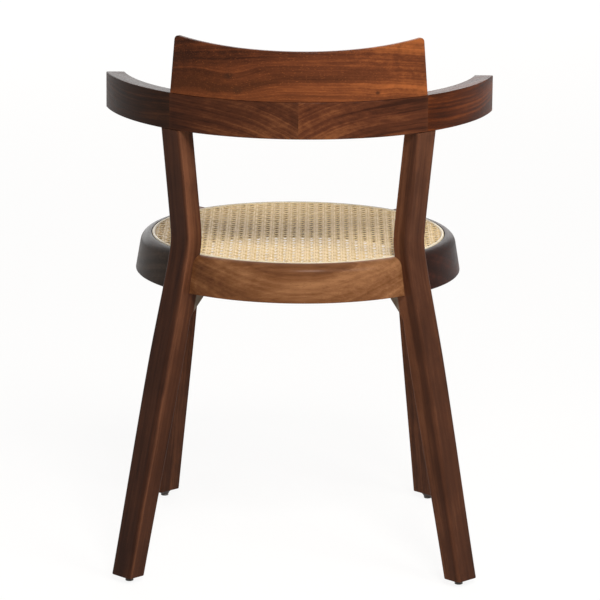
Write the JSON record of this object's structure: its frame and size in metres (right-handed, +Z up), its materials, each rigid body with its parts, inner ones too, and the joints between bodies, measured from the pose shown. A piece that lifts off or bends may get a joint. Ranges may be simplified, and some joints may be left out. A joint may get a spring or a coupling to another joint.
{
  "type": "dining chair",
  "caption": "Low-backed round dining armchair: a cane seat in a solid-wood ring, splayed legs, and a bentwood-shaped hoop for arms and back rail with a low curved back panel.",
  "frame": {"origin": "On the floor, at the middle of the chair's footprint", "axes": "+Z is up. The chair's front faces -Y and its back is at +Y. +X is the sitter's left."},
  "size_m": [0.5506, 0.4892, 0.7659],
  "materials": {
    "walnut": "satin clear-lacquered walnut",
    "beech": "plain",
    "cane": "natural woven rattan cane",
    "reed": "natural rattan reed",
    "glide_plastic": "matte dark brown",
    "felt": "grey felt",
    "steel": "zinc plated"
  },
  "bodies": {
    "root": {"seat_ring_rear": "walnut", "seat_ring_left": "walnut", "seat_ring_right": "walnut", "seat_ring_front": "walnut", "seat_ring_tongue_rear_left": "beech", "seat_ring_tongue_rear_right": "beech", "seat_ring_tongue_front_left": "beech", "seat_ring_tongue_front_right": "beech", "cane_panel": "cane", "cane_reed": "reed", "rear_leg_left": "walnut", "rear_leg_right": "walnut", "front_leg_left": "walnut", "front_leg_right": "walnut", "leg_screw_rear_left_1": "steel", "leg_screw_rear_left_2": "steel", "leg_screw_rear_right_1": "steel", "leg_screw_rear_right_2": "steel", "leg_screw_front_left_1": "steel", "leg_screw_front_left_2": "steel", "leg_screw_front_right_1": "steel", "leg_screw_front_right_2": "steel", "arm_left": "walnut", "arm_right": "walnut", "back_rail_left": "walnut", "back_rail_right": "walnut", "back_rail_tongue": "beech", "arm_tongue_left": "beech", "arm_tongue_right": "beech", "back_panel": "walnut", "back_panel_dowel_1": "beech", "back_panel_dowel_2": "beech", "back_panel_dowel_3": "beech", "back_panel_dowel_4": "beech", "glide_rear_left": "glide_plastic", "glide_rear_right": "glide_plastic", "glide_front_left": "glide_plastic", "glide_front_right": "glide_plastic", "glide_felt_rear_left": "felt", "glide_felt_rear_right": "felt", "glide_felt_front_left": "felt", "glide_felt_front_right": "felt", "glide_nail_rear_left": "steel", "glide_nail_rear_right": "steel", "glide_nail_front_left": "steel", "glide_nail_front_right": "steel"}
  },
  "joints": []
}
